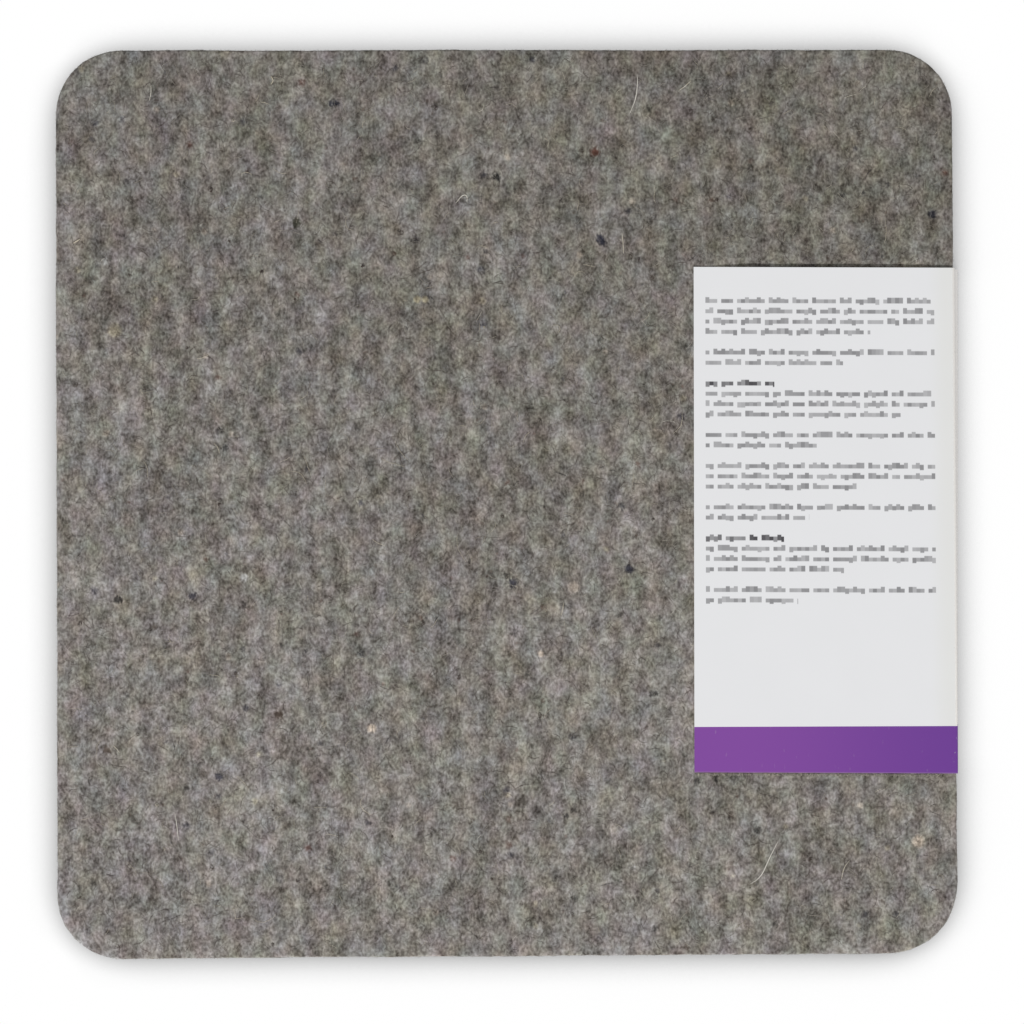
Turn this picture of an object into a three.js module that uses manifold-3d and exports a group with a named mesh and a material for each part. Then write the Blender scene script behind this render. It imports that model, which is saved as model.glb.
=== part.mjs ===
// Wool pressing mat: a square felted slab with round corners, sold with a printed paper card
// that is folded round one edge. The card has a front leaf under the mat, a spine up the mat's
// edge and a back leaf on top, joined by two creases that bend like hinges.
// Millimetres, +Z up. The origin is the middle of the mat's underside, and the card is on the +X edge.

import * as THREE from 'three';
import { mergeVertices } from 'three/addons/utils/BufferGeometryUtils.js';
import Module from 'manifold-3d';

const wasm = await Module();
wasm.setup();

// Mat
const MAT_WIDTH = 431.8;        // along X, 17 in
const MAT_LENGTH = 431.8;       // along Y, 17 in
const MAT_THICKNESS = 12.7;     // half an inch of felt
const CORNER_RADIUS = 28;       // the four corners seen from above
const EDGE_RADIUS = 1.6;        // the cut edges, eased by handling

// Card
const LEAF_LENGTH = 125.4;      // along X, from a crease to the leaf's free edge
const CARD_WIDTH = 241.3;       // along Y, 9 1/2 in
const CARD_THICKNESS = 0.4;
const CARD_SHIFT = -9.4;        // the card's middle along Y, from the mat's middle

// Clearances
const FELT_GAP = 0.3;           // between the card and the felt
const CREASE_GAP = 0.3;         // between a leaf's round edge and the spine, where the paper bends

// Facets
const CORNER_STEPS = 16;
const EDGE_STEPS = 4;
const CREASE_STEPS = 6;

// Places that follow from the sizes
const creaseX = MAT_WIDTH / 2 + FELT_GAP + CARD_THICKNESS / 2;
const lowerCreaseZ = CARD_THICKNESS / 2;
const upperCreaseZ = MAT_THICKNESS + FELT_GAP + CARD_THICKNESS / 2;
const imprintDepth = CARD_THICKNESS + FELT_GAP;

// Finishes
const FELT = { color: '#7a7570', roughness: 1, metalness: 0 };
const PAPER = { color: '#e3e3e5', roughness: 0.5, metalness: 0 };

// A closed geometry as a solid that can be cut.
function solidOf(geometry) {
  const bare = geometry.clone();
  bare.deleteAttribute('normal');
  bare.deleteAttribute('uv');
  const merged = mergeVertices(bare);
  return new wasm.Manifold(new wasm.Mesh({
    numProp: 3,
    vertProperties: new Float32Array(merged.attributes.position.array),
    triVerts: new Uint32Array(merged.index.array),
  }));
}

// A cut solid as a geometry again.
function geometryOf(solid) {
  const mesh = solid.getMesh();
  const geometry = new THREE.BufferGeometry();
  geometry.setAttribute('position', new THREE.BufferAttribute(mesh.vertProperties, 3));
  geometry.setIndex(new THREE.BufferAttribute(mesh.triVerts, 1));
  geometry.computeVertexNormals();
  return geometry;
}

// Points of an arc about (x, y), both ends included.
function arc(x, y, radius, start, end, steps) {
  const points = [];
  for (let step = 0; step <= steps; step++) {
    const angle = start + (end - start) * step / steps;
    points.push(new THREE.Vector2(x + radius * Math.cos(angle), y + radius * Math.sin(angle)));
  }
  return points;
}

// The mat's outline from above.
function roundedRectangle(width, length, radius) {
  const points = [];
  for (let corner = 0; corner < 4; corner++) {
    const toRight = corner === 0 || corner === 3 ? 1 : -1;
    const toBack = corner < 2 ? 1 : -1;
    const start = corner * Math.PI / 2;
    points.push(...arc(
      toRight * (width / 2 - radius), toBack * (length / 2 - radius), radius,
      start, start + Math.PI / 2, CORNER_STEPS,
    ));
  }
  return new THREE.Shape(points);
}

// The felt slab: flat faces, eased edges, and underneath a shallow imprint where the felt has
// yielded to the front leaf, so that mat and leaf lie on one plane.
function woolMat() {
  const slab = new THREE.ExtrudeGeometry(roundedRectangle(MAT_WIDTH, MAT_LENGTH, CORNER_RADIUS), {
    depth: MAT_THICKNESS - 2 * EDGE_RADIUS,
    bevelThickness: EDGE_RADIUS,
    bevelSize: EDGE_RADIUS,
    bevelOffset: -EDGE_RADIUS,
    bevelSegments: EDGE_STEPS,
  });
  slab.translate(0, 0, EDGE_RADIUS);

  // The cutter reaches past the felt below and beside it.
  const inner = creaseX - LEAF_LENGTH - FELT_GAP;
  const outer = creaseX + CARD_THICKNESS;
  const cutter = new THREE.BoxGeometry(outer - inner, CARD_WIDTH + 2 * FELT_GAP, 2 * imprintDepth);
  cutter.translate((inner + outer) / 2, CARD_SHIFT, 0);

  const imprinted = geometryOf(solidOf(slab).subtract(solidOf(cutter)));
  const mesh = new THREE.Mesh(imprinted, new THREE.MeshStandardMaterial(FELT));
  mesh.name = 'wool_mat';
  return mesh;
}

// A flat section in X and Z, drawn out along Y to the card's width.
function cardStrip(section) {
  const strip = new THREE.ExtrudeGeometry(new THREE.Shape(section), {
    depth: CARD_WIDTH,
    bevelEnabled: false,
  });
  strip.rotateX(Math.PI / 2);
  strip.translate(0, CARD_WIDTH / 2, 0);
  return strip;
}

// A leaf about its crease: a flat sheet towards -X with a round edge on the crease.
function cardLeaf(name, creaseZ) {
  const half = CARD_THICKNESS / 2;
  const section = [
    new THREE.Vector2(-LEAF_LENGTH, half),
    new THREE.Vector2(-LEAF_LENGTH, -half),
    ...arc(0, 0, half, -Math.PI / 2, Math.PI / 2, CREASE_STEPS),
  ];
  const mesh = new THREE.Mesh(cardStrip(section), new THREE.MeshStandardMaterial(PAPER));
  mesh.name = name;
  mesh.position.set(creaseX, CARD_SHIFT, creaseZ);
  return mesh;
}

// The strip up the mat's edge. Its ends are hollowed round the two creases, so that it swings
// about either of them with the same slit all the way.
function cardSpine() {
  const hollow = CARD_THICKNESS / 2 + CREASE_GAP;
  const reach = Math.asin(CARD_THICKNESS / 2 / hollow);
  const upright = Math.PI / 2;
  const section = [
    ...arc(0, lowerCreaseZ, hollow, upright + reach, upright - reach, CREASE_STEPS),
    ...arc(0, upperCreaseZ, hollow, -upright + reach, -upright - reach, CREASE_STEPS),
  ];
  const mesh = new THREE.Mesh(cardStrip(section), new THREE.MeshStandardMaterial(PAPER));
  mesh.name = 'card_spine';
  mesh.position.set(creaseX, CARD_SHIFT, 0);
  return mesh;
}

const mat = new THREE.Group();
mat.add(woolMat());
mat.add(cardLeaf('card_front_leaf', lowerCreaseZ));
mat.add(cardSpine());
mat.add(cardLeaf('card_back_leaf', upperCreaseZ));

export default mat;
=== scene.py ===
"""Looks of the wool pressing mat: the felt slab with its fibres, and the printed card round its edge.

Metres, in the part's own frame. Lengths are written in millimetres times MM.
"""

import math

import bpy
import numpy as np
from mathutils import Matrix, Vector


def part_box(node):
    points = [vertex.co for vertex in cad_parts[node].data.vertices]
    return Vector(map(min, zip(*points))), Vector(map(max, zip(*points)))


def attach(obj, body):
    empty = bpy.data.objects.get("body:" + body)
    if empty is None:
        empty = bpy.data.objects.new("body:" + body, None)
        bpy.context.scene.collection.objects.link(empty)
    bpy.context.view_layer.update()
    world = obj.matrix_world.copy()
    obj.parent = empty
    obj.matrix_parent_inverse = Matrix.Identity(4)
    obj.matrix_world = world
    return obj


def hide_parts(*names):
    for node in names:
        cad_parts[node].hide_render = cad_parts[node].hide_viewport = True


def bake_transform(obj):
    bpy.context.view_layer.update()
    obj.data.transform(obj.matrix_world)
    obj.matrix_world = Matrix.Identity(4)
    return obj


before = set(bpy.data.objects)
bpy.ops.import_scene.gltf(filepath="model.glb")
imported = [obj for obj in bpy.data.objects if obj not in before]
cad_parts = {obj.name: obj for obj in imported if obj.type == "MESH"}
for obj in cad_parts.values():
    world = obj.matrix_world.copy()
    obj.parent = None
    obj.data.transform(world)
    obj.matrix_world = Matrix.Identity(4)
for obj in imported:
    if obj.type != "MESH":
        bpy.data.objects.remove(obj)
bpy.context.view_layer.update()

MM = 0.001
TINY = 1e-9

# The frame's own sizes
mat_low, mat_high = (np.array(corner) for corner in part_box("wool_mat"))
leaf_low, leaf_high = (np.array(corner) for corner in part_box("card_back_leaf"))
front_low, front_high = (np.array(corner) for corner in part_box("card_front_leaf"))
spine_low, spine_high = (np.array(corner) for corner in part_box("card_spine"))
MAT_HALF = (mat_high[0] - mat_low[0]) / 2
MAT_TOP = mat_high[2]
CARD_THICKNESS = spine_high[0] - spine_low[0]
CARD_WIDTH = leaf_high[1] - leaf_low[1]
CREASE_X = (spine_low[0] + spine_high[0]) / 2
LOWER_CREASE_Z = (front_low[2] + front_high[2]) / 2
UPPER_CREASE_Z = (leaf_low[2] + leaf_high[2]) / 2
SPINE_MIDDLE_Z = (LOWER_CREASE_Z + UPPER_CREASE_Z) / 2
CARD_MIDDLE_Y = (leaf_low[1] + leaf_high[1]) / 2

# The photograph's frame and what the camera sees of it
IMAGE_SIZE = 1024
PIXEL = 0.4776 * MM  # of the mat's top face
CAMERA_TARGET = (3.6 * MM, -4.8 * MM)
CAMERA_SHIFT = (-57 * MM, -43 * MM)  # the camera stands a little to the left and below
CAMERA_HEIGHT = 2.0  # above the mat's top face
CAMERA_ROLL = math.radians(0.26)
SENSOR = 36.0

# The felt slab. It was cut a little out of square.
CORNER_RADIUS = 31 * MM
NEAR_RIGHT_RADIUS = 33.5 * MM  # of the corner beside the card's near end
EDGE_RADIUS = 0.9 * MM
LEFT_TRIM = 2.5 * MM  # missing from the width, on the left
LENGTH_EXCESS = 1.3 * MM  # more than the nominal length
GRID = 200  # faces along each side of the top and bottom
EDGE_ROWS = 4
WALL_ROWS = 6
RELIEF_LAYERS = (  # height, cells along X, Y and Z, and a shift of the noise
    (0.12 * MM, np.array([21.0, 21.0, 21.0]) * MM, 0.0),
    (0.10 * MM, np.array([5.0, 9.0, 4.0]) * MM, 3.0),
    (0.07 * MM, np.array([3.4, 4.4, 2.4]) * MM, 7.0),
)
FELT_LOW, FELT_HIGH = -0.30 * MM, 0.22 * MM  # limits of the relief,
PRESSED_HIGH = 0.05 * MM  # with a lower one under the back leaf
CUT_FLATNESS = 0.65  # how much of the relief the cut edges lack
UNDERSIDE_RELIEF = 0.5  # how much of its hollows the underside has
CUT_WAVES = (  # of the outline: height, length and a shift of the noise
    (0.08 * MM, 70 * MM, 5),
    (0.03 * MM, 12 * MM, 9),
)
CUT_SLACK = 0.15 * MM  # how far the outline may run past the nominal right edge
CARD_MARGIN = 3 * MM  # round the card, where the cut felt keeps clear of it
SPINE_MARGIN = 2 * MM  # along the edge, where no felt stands out towards the spine
IMPRINT_GAP = 0.15 * MM  # between the front leaf and the felt over it
DENT_DEPTH = 1.6 * MM  # of the felt along the back leaf's far edge
DENT_REACH = 5 * MM  # to each side of that edge
DENT_RAMP = 32 * MM  # from the leaf's free edge, over which the dent grows
DENT_END = 35 * MM  # before the mat's edge, over which it fades
DENT_FADE = 0.85  # how much of it is gone there

# Loose wool on the felt
STRAND_SIDES = 3
STRAND_HINT = (0.21, 0.13, 0.97)  # a direction that hardly any strand follows
TAPER = 0.12  # a strand's ends are cut off here, as a share of a half wave
WANDER = 0.18  # radians, by which a strand's course shakes
FUZZ_COUNT = 9000  # strands tried in each of the two tones
FUZZ_TONES = {"felt_fuzz_pale": 0.65, "felt_fuzz_dark": 0.28}
FRINGE_COUNT = 2600  # strands along the cut edges
HALO_COUNT = 9000  # short strands that stick out of them
HALO_POINTS = 4
HALO_ROOT = 0.25 * MM  # how deep they begin
CARD_FRINGE_COUNT = 1000  # strands along the back leaf's near edge
CARD_FRINGE_ARCH = 1.9  # radians of the wave that they rise in
HAIR_COUNT = 26  # long pale hairs apart from those that the photograph shows
HAIR_WIDTH, HAIR_TONE = 0.22, 0.92  # mm, and tone, of those
HAIR_SPREAD = 0.92  # of the mat's sides, over which they lie
NEP_COUNT = 90  # small tangles of wool
NEP_STRANDS = 14
NEP_TONES = (0.14, 0.24, 0.32, 0.38, 0.70, 0.80)
NEP_STRETCH = 1.25  # along Y
FUZZ_POINTS = 6
HAIR_POINTS = 14

# The card
FOLD_BEND = (0.35 * MM, 0.95 * MM)  # what a fold takes to turn, at its near and far end
FOLD_ROUNDNESS = 0.35  # 0 for a slanted strip between two creases, 1 for a round bend
SPINE_BOW = (1.25 * MM, 2.75 * MM)  # how far the spine bows out at its near and far end
BOW_TOP = UPPER_CREASE_Z - 3.4 * MM  # where the bow begins
BOW_GAIN = 27 / 4  # brings the peak of h (1 - h)^2 to 1
LEAF_STEPS, BEND_STEPS, SPINE_STEPS = 40, 8, 16
LAST_STEP = 0.997  # of the leaf, where its short last step begins
SHARP_ANGLE = math.radians(40)  # of the paper's cut edges
SEAM = LEAF_STEPS + BEND_STEPS + 4  # the points of the spine where the card's two pieces meet
WIDTH_STEPS = 48
NEAR_DROP = 0.2 * MM  # of the back leaf's near end, which lies in the felt
DROP_SHARE = 0.4  # of the card's width, over which it rises out again
BAND_WIDTH = 21.67  # the printed band, in mm from the card's near end at its free edge,
BAND_SLANT = 0.0077  # and how much wider for each mm towards the fold
# The back leaf's corners off a true rectangle, along X and Y, at the card's near and far end
FREE_CORNERS = np.array([[-0.75, 0.45], [0.15, 1.0]]) * MM
FOLD_CORNERS = np.array([[0.0, -0.80], [0.0, 0.32]]) * MM
PRINT_LEFT, PRINT_TOP = 5.6, 228.0  # the printed rows' corner, in mm from the leaf's edge and near end
PRINT_WIDTH = 110.0
ROW_PITCH = 4.93
BLOCK_WIDTH = 1.9  # the bars are rows of blocks,
BLOCKS_IN_BAR = 6  # about this many in each bar,
GAP_CHOICES = 3.99  # with a gap in place of any but the first and last of them
BLOCK_TOP, TALL_TOP = 0.40, 0.22  # of plain and tall blocks, as shares of a row from its top
BLOCK_FOOT, DEEP_FOOT = 0.80, 0.94  # of plain and deep ones
DEEP_KINDS, TALL_KINDS = (0.10, 0.12), (0.68, 0.70)  # a block's random number, for deep and for tall ones
BLOCK_BLUR = (-0.04, 0.06)  # soft edge of the blocks, as shares of a row

# Low and high corners of what a mesh's parts take of its UV map
TOP_BOX = (0.01, 0.25), (0.75, 0.99)
WALL_BOX = (0.01, 0.01), (0.99, 0.23)
BOTTOM_BOX = (0.77, 0.77), (0.99, 0.99)
OUTER_BOX = (0.01, 0.08), (0.49, 0.99)
INNER_BOX = (0.51, 0.08), (0.99, 0.99)
RIM_BOX = (0.01, 0.01), (0.99, 0.06)
CELL_MARGIN = 0.1  # round each strand in its cell, as a share of the cell


def part_way(ends, share):
    """From the first of two ends to the second."""
    return ends[0] * (1 - share) + ends[1] * share


def smooth(x):
    x = np.clip(x, 0, 1)
    return x * x * (3 - 2 * x)


class LatticeNoise:
    """Smooth noise in space with a spread of about 1, from a table of random numbers."""

    SIZE = 64
    GAIN = 1.7

    def __init__(self, seed):
        self.table = np.random.default_rng(seed).standard_normal((self.SIZE,) * 3)

    def __call__(self, points, cell):
        """One value for each row of points. cell is the lattice's step, or one step for each axis."""
        scaled = points / np.asarray(cell)
        low = np.floor(scaled).astype(int)
        part = smooth(scaled - low)
        total = np.zeros(len(points))
        for corner in np.ndindex(2, 2, 2):
            index = (low + corner) % self.SIZE
            share = np.where(corner, part, 1 - part).prod(axis=1)
            total += share * self.table[index[:, 0], index[:, 1], index[:, 2]]
        return total * self.GAIN


relief_noise = LatticeNoise(11)
outline_noise = LatticeNoise(12)
rng = np.random.default_rng(14)


def photo_place(x, y):
    """Where a pixel of the photograph lies on the top face, before the cut takes the mat out of square."""
    right, up = (x - IMAGE_SIZE / 2) * PIXEL, (IMAGE_SIZE / 2 - y) * PIXEL
    turn_x, turn_y = math.cos(CAMERA_ROLL), math.sin(CAMERA_ROLL)
    cut_x = CAMERA_TARGET[0] + right * turn_x + up * turn_y
    cut_y = CAMERA_TARGET[1] - right * turn_y + up * turn_x
    return np.array([
        (cut_x - LEFT_TRIM / 2) / (1 - LEFT_TRIM / (2 * MAT_HALF)),
        cut_y / (1 + LENGTH_EXCESS / (2 * MAT_HALF)),
    ])


# Meshes

def add_mesh(name, points, faces, material, maps=None):
    """A new smooth object. faces is a list of arrays, each with faces of one size.

    maps holds UV maps by name, each a list of arrays like faces, with two numbers for each corner.
    """
    mesh = bpy.data.meshes.new(name)
    mesh.from_pydata(points.tolist(), [], [face for group in faces for face in np.asarray(group).tolist()])
    mesh.materials.append(material)
    mesh.polygons.foreach_set("use_smooth", np.ones(len(mesh.polygons), dtype=bool))
    for key, groups in (maps or {}).items():
        corners = np.concatenate([np.asarray(group, dtype=np.float32).reshape(-1) for group in groups])
        mesh.uv_layers.new(name=key).data.foreach_set("uv", corners)
    mesh.update()
    piece = bpy.data.objects.new(name, mesh)
    bpy.context.scene.collection.objects.link(piece)
    return piece


def into_box(corners, low, high):
    """Places numbers from 0 to 1 in a box of a UV map."""
    low, high = np.asarray(low), np.asarray(high)
    return low + np.asarray(corners) * (high - low)


def grid_quads(index):
    """Faces of a grid, from the numbers of its points."""
    corners = [index[:-1, :-1], index[1:, :-1], index[1:, 1:], index[:-1, 1:]]
    return np.stack(corners, axis=-1).reshape(-1, 4)


def atlas(count):
    """Corners and width of square cells that share one UV map, one cell for each of count things."""
    columns = math.ceil(math.sqrt(count))
    index = np.arange(count)
    return np.stack([index % columns, index // columns], axis=1) / columns, 1 / columns


# Felt surface

def under_card(points, margin=0.0):
    """Which points lie under the back leaf, seen from above."""
    inside_x = points[..., 0] > leaf_low[0] - margin
    inside_y = (points[..., 1] > leaf_low[1] - margin) & (points[..., 1] < leaf_high[1] + margin)
    return inside_x & inside_y


def card_dent(points):
    """How deep the felt lies at each point of the top face because of the card's far edge."""
    grown = smooth((points[:, 0] - leaf_low[0]) / DENT_RAMP) * (points[:, 2] > MAT_TOP / 2)
    grown *= 1 - DENT_FADE * smooth((points[:, 0] - mat_high[0] + DENT_END) / DENT_END)
    return DENT_DEPTH * grown * (1 - smooth(np.abs(points[:, 1] - leaf_high[1]) / DENT_REACH))


def felt_relief(points):
    """How far the felt stands out of its nominal surface: swells, tufts and the card's dent."""
    height = sum(size * relief_noise(points + shift, cells) for size, cells, shift in RELIEF_LAYERS)
    height = np.clip(height, FELT_LOW, np.where(under_card(points), PRESSED_HIGH, FELT_HIGH))
    return height - card_dent(points)


def cut_outline(points):
    """Moves points of the square slab to where the real cut runs, a little off the square."""
    moved = points.copy()
    moved[:, 0] += LEFT_TRIM * (MAT_HALF - points[:, 0]) / (2 * MAT_HALF)
    moved[:, 1] *= 1 + LENGTH_EXCESS / (2 * MAT_HALF)
    flat = points * [1, 1, 0]
    nearness = smooth(np.abs(points[:, :2]).max(axis=1) / MAT_HALF)
    for axis in (0, 1):
        for height, length, shift in CUT_WAVES:
            moved[:, axis] += height * outline_noise(flat + shift * axis, length) * nearness
    moved[:, 0] = np.minimum(moved[:, 0], mat_high[0] + CUT_SLACK)
    return moved


def corner_radius(x, y):
    """The radius of the corner that each point lies towards."""
    return np.where((x > 0) & (y < 0), NEAR_RIGHT_RADIUS, CORNER_RADIUS)


def rounded_square(a, b, inset):
    """Points and outward directions on rounded squares inside the mat's outline.

    a and b run from -1 to 1 over a square, whose rings become rings at that inset from the outline.
    """
    radius = np.maximum(corner_radius(a, b) - inset, 0)
    straight = MAT_HALF - inset - radius
    on_x = np.abs(a) >= np.abs(b)
    reach = np.maximum(np.maximum(np.abs(a), np.abs(b)), TINY)
    along = np.where(on_x, b, a) / reach * (straight + radius * math.pi / 4)
    turn = np.maximum(np.abs(along) - straight, 0) / np.maximum(radius, TINY)
    turn = np.minimum(turn, math.pi / 4)
    across = straight + radius * np.cos(turn)
    beside = np.minimum(np.abs(along), straight) + radius * np.sin(turn)
    main, other = np.where(on_x, np.sign(a), np.sign(b)), np.sign(along)

    def turned(forward, aside):
        pair = np.stack([main * forward, other * aside], axis=1)
        return np.where(on_x[:, None], pair, pair[:, ::-1])

    return turned(across, beside), turned(np.cos(turn), np.sin(turn))


def square_ring(places):
    """(a, b) of places on the square's rim, counted from 0 to 4 round its sides from the right front."""
    side = np.floor(places).astype(int) % 4
    part = 2 * (places - np.floor(places)) - 1
    ones = np.ones_like(part)
    a = np.choose(side, [ones, -part, -ones, part])
    b = np.choose(side, [part, ones, -part, -ones])
    return a, b


def depth_inside(plan):
    """How far inside the mat's outline points lie, seen from above."""
    radius = corner_radius(plan[..., 0], plan[..., 1])
    beyond = np.abs(plan) - (MAT_HALF - radius)[..., None]
    corner = np.linalg.norm(np.maximum(beyond, 0), axis=-1)
    return radius - corner - np.minimum(beyond.max(axis=-1), 0)


def edge_profile():
    """(inset, height, tilt) down the slab's edge: rounding, wall and rounding. Tilt is 0 for up."""
    upper = []
    for tilt in np.linspace(0, math.pi / 2, EDGE_ROWS + 1)[1:]:
        inset, drop = EDGE_RADIUS * (1 - math.sin(tilt)), EDGE_RADIUS * (1 - math.cos(tilt))
        upper.append((inset, MAT_TOP - drop, tilt))
    heights = np.linspace(MAT_TOP - EDGE_RADIUS, EDGE_RADIUS, WALL_ROWS + 1)[1:-1]
    wall = [(0.0, height, math.pi / 2) for height in heights]
    lower = [(inset, MAT_TOP - height, math.pi - tilt) for inset, height, tilt in upper[::-1]]
    return upper + wall + lower


def felt_points(plan, outward, height, tilt):
    """Points of the felt's skin: the nominal surface, cut off the square and pushed out by the relief."""
    nominal = np.column_stack([plan, height])
    normal = np.column_stack([outward * np.sin(tilt)[:, None], np.cos(tilt)])
    relief = felt_relief(nominal) * (1 - CUT_FLATNESS * np.sin(tilt))
    relief = np.where(tilt > math.pi / 2, np.minimum(relief, 0) * UNDERSIDE_RELIEF, relief)
    beside_card = (nominal[:, 0] > mat_high[0] - CARD_MARGIN) & under_card(nominal, SPINE_MARGIN)
    relief = np.where(beside_card, np.minimum(relief, 0), relief)
    skin = cut_outline(nominal) + normal * relief[:, None]
    imprint = front_high[2] + IMPRINT_GAP
    pressed = under_card(nominal, CARD_MARGIN) & (skin[:, 2] < imprint)
    skin[pressed, 2] = imprint
    skin[:, 2] = np.maximum(skin[:, 2], 0)
    return skin


def felt_slab(material):
    """The slab as one closed skin: a grid on top, rings round the edge and a grid below."""
    steps = np.linspace(-1, 1, GRID + 1)
    a, b = (x.ravel() for x in np.meshgrid(steps, steps, indexing="ij"))
    reach = np.maximum(np.abs(a), np.abs(b))
    inset = EDGE_RADIUS + (1 - reach) * (MAT_HALF - EDGE_RADIUS)
    plan, outward = rounded_square(a, b, inset)
    count = len(a)
    top = felt_points(plan, outward, np.full(count, MAT_TOP), np.zeros(count))
    bottom = felt_points(plan, outward, np.zeros(count), np.full(count, math.pi))

    ring_size = 4 * GRID
    ring_a, ring_b = square_ring(np.arange(ring_size) / GRID)
    ones = np.ones(ring_size)
    rings = []
    for ring_inset, height, tilt in edge_profile():
        ring_plan, ring_outward = rounded_square(ring_a, ring_b, ring_inset * ones)
        rings.append(felt_points(ring_plan, ring_outward, height * ones, tilt * ones))

    rim_a, rim_b = (np.rint((x + 1) * GRID / 2).astype(int) for x in (ring_a, ring_b))
    rim = rim_a * (GRID + 1) + rim_b
    bottom_start = count + len(rings) * ring_size
    loops = np.vstack([rim, np.arange(count, bottom_start).reshape(-1, ring_size), bottom_start + rim])
    walls = grid_quads(np.column_stack([loops, loops[:, 0]]))
    quads = grid_quads(np.arange(count).reshape(GRID + 1, GRID + 1))

    grid_map = (np.stack([a, b], axis=1) + 1) / 2
    row, place = (x.ravel() for x in np.indices((len(loops) - 1, ring_size)))
    side, along = place // GRID, place % GRID
    left, right = along / GRID, (along + 1) / GRID
    high, low = ((side + k / len(loops)) / 4 for k in (row, row + 1))
    wall_map = np.stack([left, high, left, low, right, low, right, high], axis=1).reshape(-1, 4, 2)
    maps = [
        into_box(grid_map[quads], *TOP_BOX),
        into_box(wall_map, *WALL_BOX),
        into_box(grid_map[quads[:, ::-1]], *BOTTOM_BOX),
    ]
    faces = [quads, walls, bottom_start + quads[:, ::-1]]
    return add_mesh("felt_slab", np.vstack([top, *rings, bottom]), faces, material, {"OFBake": maps})


# Loose wool

def strands(name, lines, radii, tones, material):
    """Thin closed tubes as one piece.

    lines is (tubes, points, 3) with each tube's middle line, radii is (tubes, points), and tones has
    a number from 0, dark, to 1, pale, for each tube.
    """
    tubes, points, _ = lines.shape
    ahead = np.gradient(lines, axis=1)
    ahead /= np.linalg.norm(ahead, axis=2, keepdims=True)
    across = np.cross(ahead, STRAND_HINT)
    across /= np.linalg.norm(across, axis=2, keepdims=True)
    over = np.cross(across, ahead)
    turns = np.arange(STRAND_SIDES) * 2 * math.pi / STRAND_SIDES
    spokes = np.cos(turns)[:, None] * across[:, 1:-1, None] + np.sin(turns)[:, None] * over[:, 1:-1, None]
    rims = lines[:, 1:-1, None] + radii[:, 1:-1, None, None] * spokes
    skin = np.concatenate([lines[:, :1], rims.reshape(tubes, -1, 3), lines[:, -1:]], axis=1)

    size = skin.shape[1]
    rings = np.arange(1, size - 1).reshape(-1, STRAND_SIDES)
    index = np.zeros((points, STRAND_SIDES + 1), dtype=int)
    index[1:-1] = np.column_stack([rings, rings[:, 0]])
    index[-1] = size - 1
    places = np.stack(np.indices(index.shape)[::-1], axis=-1) / [STRAND_SIDES, points - 1]
    quads = grid_quads(np.arange(index.size).reshape(index.shape))
    first, last = quads[:STRAND_SIDES, :3], quads[-STRAND_SIDES:][:, [0, 1, 3]]

    starts = np.arange(tubes)[:, None, None] * size
    cells, width = atlas(tubes)
    faces, bake, shade = [], [], []
    for group in (first, quads[STRAND_SIDES:-STRAND_SIDES], last):
        faces.append((starts + index.ravel()[group]).reshape(-1, group.shape[1]))
        local = CELL_MARGIN + (1 - 2 * CELL_MARGIN) * places.reshape(-1, 2)[group]
        bake.append(cells[:, None, None] + width * local)
        shade.append(np.broadcast_to(tones[:, None, None, None], (tubes, *local.shape)))
    return add_mesh(name, skin.reshape(-1, 3), faces, material, {"OFBake": bake, "strand": shade})


def lying_lines(plan, lift):
    """Lines on the felt's top face through points seen from above, raised by lift: (lines, points, 3)."""
    flat = np.concatenate([plan, np.full((*plan.shape[:2], 1), MAT_TOP)], axis=2)
    nominal = flat.reshape(-1, 3)
    height = felt_relief(nominal).reshape(lift.shape)
    skin = cut_outline(nominal).reshape(flat.shape)
    skin[..., 2] += height + lift
    return skin


def scattered(count, points, half, turn, lengths, curl, edge, card):
    """Bent lines about the pressing face, most of them along Y, seen from above: (lines, points, 2).

    Those that come nearer to the mat's outline than edge, or to the card than card, are left out.
    """
    middles = rng.uniform(-half, half, (count, 2))
    headings = rng.normal(math.pi / 2, turn, (count, 1))
    lengths = rng.uniform(*lengths, (count, 1, 1)) * MM
    curls = rng.normal(0, curl, (count, 1))
    angle = headings + curls * np.linspace(-0.5, 0.5, points) + rng.normal(0, WANDER, (count, points))
    walk = np.stack([np.cos(angle), np.sin(angle)], axis=2) * lengths / (points - 1)
    path = np.cumsum(walk, axis=1)
    plan = middles[:, None] + path - path.mean(axis=1, keepdims=True)
    clear = (depth_inside(plan) > edge).all(axis=1) & ~under_card(plan, card).any(axis=1)
    return plan[clear]


def tapered(widths, points):
    """Radii along strands of these widths, thickest in the middle."""
    share = np.sin(np.linspace(TAPER, 1 - TAPER, points) * math.pi)
    return widths[:, None] / 2 * share


def arch(points):
    """A rise from 0 to 1 and back along a strand."""
    return np.sin(np.linspace(0, math.pi, points))


def wool(name, lines, material, widths, tones):
    """Strands with widths from a range in mm, and tones with a mean and a spread."""
    count, points, _ = lines.shape
    widths = rng.uniform(*widths, count) * MM
    tones = np.clip(rng.normal(*tones, count), 0, 1)
    return strands(name, lines, tapered(widths, points), tones, material)


def fuzz(name, tone, material):
    """Short strands lying on the pressing face in all directions, more of them along Y."""
    plan = scattered(
        FUZZ_COUNT, FUZZ_POINTS, MAT_HALF,
        turn=0.9, lengths=(2.5, 9.0), curl=1.4, edge=2.2 * MM, card=0.4 * MM,
    )
    lift = -0.06 * MM + rng.uniform(0.08, 0.30, (len(plan), 1)) * MM * arch(FUZZ_POINTS)
    return wool(name, lying_lines(plan, lift), material, widths=(0.08, 0.20), tones=(tone, 0.12))


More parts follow.
